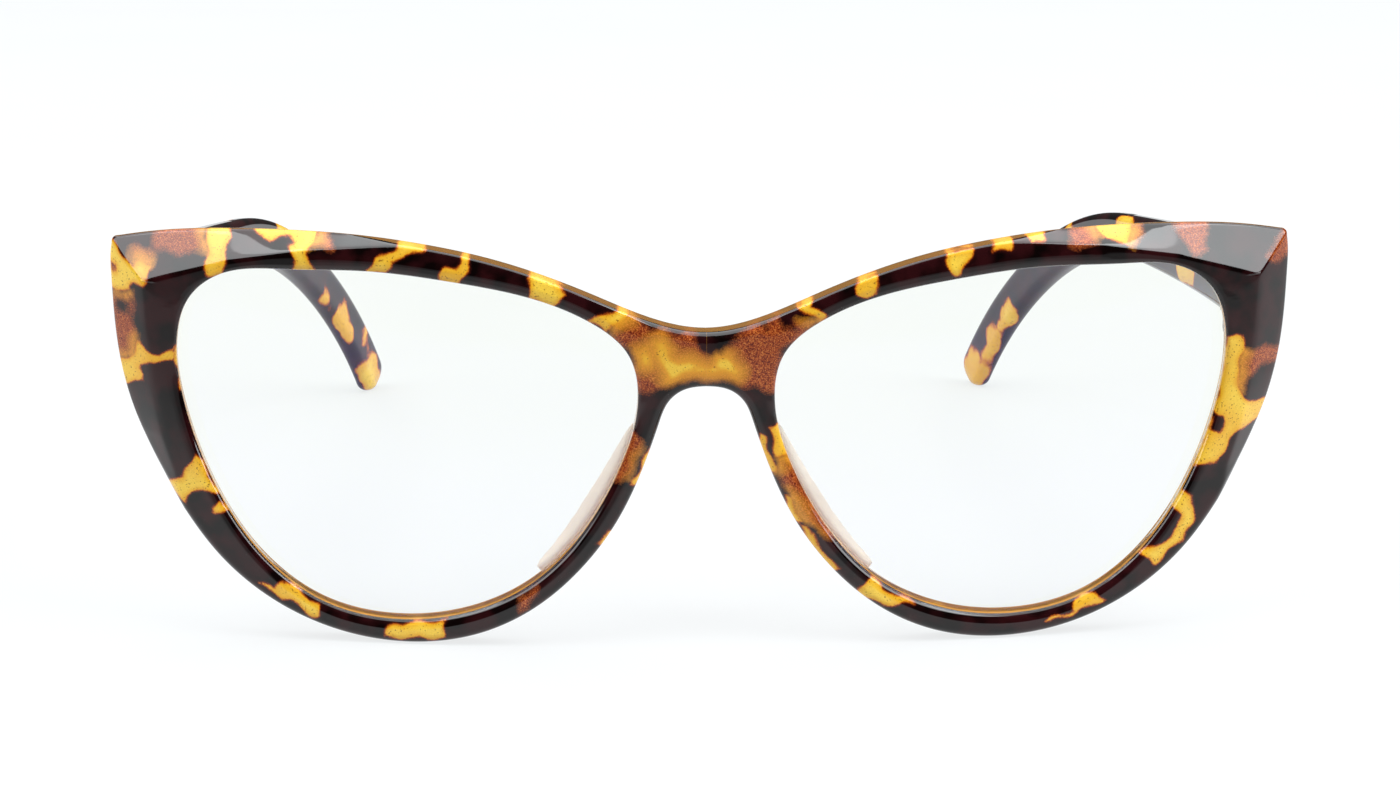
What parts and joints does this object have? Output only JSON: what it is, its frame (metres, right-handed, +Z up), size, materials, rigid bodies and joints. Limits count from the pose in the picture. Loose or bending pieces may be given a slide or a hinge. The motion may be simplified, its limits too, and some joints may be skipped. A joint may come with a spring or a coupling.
{
  "type": "eyeglasses",
  "caption": "Cat-eye spectacles with a wrapped tortoiseshell plastic front, clear lenses, bonded nose pads and folding temples on barrel hinges.",
  "frame": {"origin": "centre of the bounding box in X and Y, on the table plane that the lower rims and the temple tips touch", "axes": "+Z up, -Y the way the wearer looks, +X the wearer's left"},
  "size_m": [0.1432, 0.1426, 0.0501],
  "materials": {
    "tortoiseshell_plastic": "polished, printed with dark brown patches on translucent amber",
    "clear_lens": "polished, anti-reflection coated",
    "pad_plastic": "satin, translucent",
    "hinge_metal": "satin nickel silver",
    "core_metal": "drawn wire"
  },
  "bodies": {
    "front": {"front_frame": "tortoiseshell_plastic", "left_lens": "clear_lens", "right_lens": "clear_lens", "left_nose_pad": "pad_plastic", "right_nose_pad": "pad_plastic", "left_front_hinge_leaf": "hinge_metal", "right_front_hinge_leaf": "hinge_metal", "left_hinge_screw": "hinge_metal", "right_hinge_screw": "hinge_metal"},
    "left_arm": {"left_temple": "tortoiseshell_plastic", "left_temple_hinge_leaf": "hinge_metal", "left_core_wire": "core_metal"},
    "right_arm": {"right_temple": "tortoiseshell_plastic", "right_temple_hinge_leaf": "hinge_metal", "right_core_wire": "core_metal"}
  },
  "joints": [
    {"name": "left_temple_fold", "type": "hinge", "parent": "front", "child": "left_arm", "pos_m": [0.0659, -0.05125, 0.0394], "axis": [0, 0, 1], "range_deg": [0, 82]},
    {"name": "right_temple_fold", "type": "hinge", "parent": "front", "child": "right_arm", "pos_m": [-0.0659, -0.05125, 0.0394], "axis": [0, 0, -1], "range_deg": [0, 74]}
  ]
}
